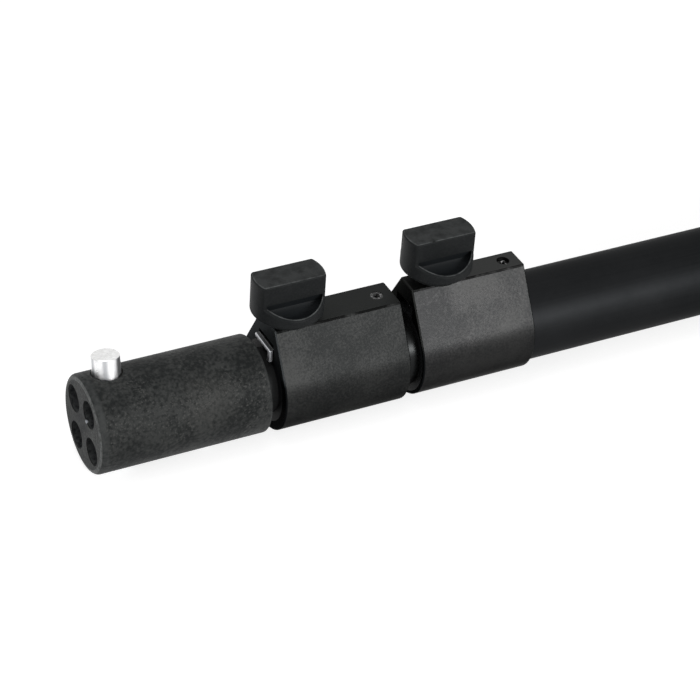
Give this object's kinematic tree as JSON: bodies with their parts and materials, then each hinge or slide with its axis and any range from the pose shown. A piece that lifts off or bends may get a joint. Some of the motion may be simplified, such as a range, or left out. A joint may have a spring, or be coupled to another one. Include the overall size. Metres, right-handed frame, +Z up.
{
  "type": "telescopic boom pole",
  "caption": "Black telescopic boom pole, pushed together, with clamp collars turned by T-knobs and an end plug with a spring-loaded lock button.",
  "frame": {"origin": "centre of the end plug's front face, on the pole's axis", "axes": "+X along the pole from the end plug to the butt, +Z up through the knobs, +Y completes the right-handed set"},
  "size_m": [1, 0.0394, 0.07],
  "materials": {
    "tube_black": "satin black anodised",
    "collar_black": "bead-blasted black anodised",
    "plug_plastic": "moulded, slightly mottled",
    "knob_plastic": "moulded matt",
    "bearing_plastic": "smooth",
    "bright_steel": "bright, lightly brushed",
    "plated_steel": "zinc plated",
    "dark_steel": "black oxide",
    "bare_aluminium": "turned, bare"
  },
  "bodies": {
    "outer_section": {"outer_tube": "tube_black", "rear_collar": "collar_black", "rear_liner": "bearing_plastic", "rear_grub_screw": "dark_steel", "butt_cap": "plug_plastic"},
    "rear_clamp_shoe": {"rear_shoe": "bright_steel"},
    "rear_clamp_knob": {"rear_knob": "knob_plastic", "rear_knob_stud": "plated_steel"},
    "middle_carrier": {"middle_guide": "bearing_plastic"},
    "middle_section": {"middle_tube": "tube_black", "front_collar": "collar_black", "front_liner": "bearing_plastic", "front_grub_screw": "dark_steel"},
    "front_clamp_shoe": {"front_shoe": "bright_steel"},
    "front_clamp_knob": {"front_knob": "knob_plastic", "front_knob_stud": "plated_steel"},
    "inner_carrier": {"inner_guide": "bearing_plastic"},
    "inner_section": {"inner_tube": "tube_black", "end_plug": "plug_plastic", "plug_screw": "plated_steel", "button_spring": "plated_steel", "button_retainer": "plated_steel"},
    "plug_button": {"lock_button": "bare_aluminium"}
  },
  "joints": [
    {"name": "rear_shoe_lift", "type": "slide", "parent": "outer_section", "child": "rear_clamp_shoe", "axis": [0, 0, 1], "range_m": [0, 0.00125]},
    {"name": "rear_knob_turn", "type": "hinge", "parent": "rear_clamp_shoe", "child": "rear_clamp_knob", "pos_m": [0.1437, 0, 0.0313], "axis": [0, 0, 1], "range_deg": [0, 450.1]},
    {"name": "middle_extend", "type": "slide", "parent": "outer_section", "child": "middle_carrier", "axis": [-1, 0, 0], "range_m": [0, 0.768]},
    {"name": "middle_twist", "type": "hinge", "parent": "middle_carrier", "child": "middle_section", "pos_m": [0.95, 0, 0], "axis": [-1, 0, 0], "continuous": true},
    {"name": "front_shoe_lift", "type": "slide", "parent": "middle_section", "child": "front_clamp_shoe", "axis": [0, 0, 1], "range_m": [0, 0.00125]},
    {"name": "front_knob_turn", "type": "hinge", "parent": "front_clamp_shoe", "child": "front_clamp_knob", "pos_m": [0.0811, 0, 0.0277], "axis": [0, 0, 1], "range_deg": [0, 450.1]},
    {"name": "inner_extend", "type": "slide", "parent": "middle_section", "child": "inner_carrier", "axis": [-1, 0, 0], "range_m": [0, 0.829]},
    {"name": "inner_twist", "type": "hinge", "parent": "inner_carrier", "child": "inner_section", "pos_m": [0.95, 0, 0], "axis": [-1, 0, 0], "continuous": true},
    {"name": "lock_button_press", "type": "slide", "parent": "inner_section", "child": "plug_button", "axis": [0, -0.1908, -0.9816], "range_m": [0, 0.008], "stiffness_N_per_m": 800, "springref_m": -0.006, "deforming": ["button_spring"]}
  ],
  "couplings": [
    {"joint": "rear_knob_turn", "follows": "rear_shoe_lift", "rad_per_m": 6283.2},
    {"joint": "front_knob_turn", "follows": "front_shoe_lift", "rad_per_m": 6283.2}
  ]
}
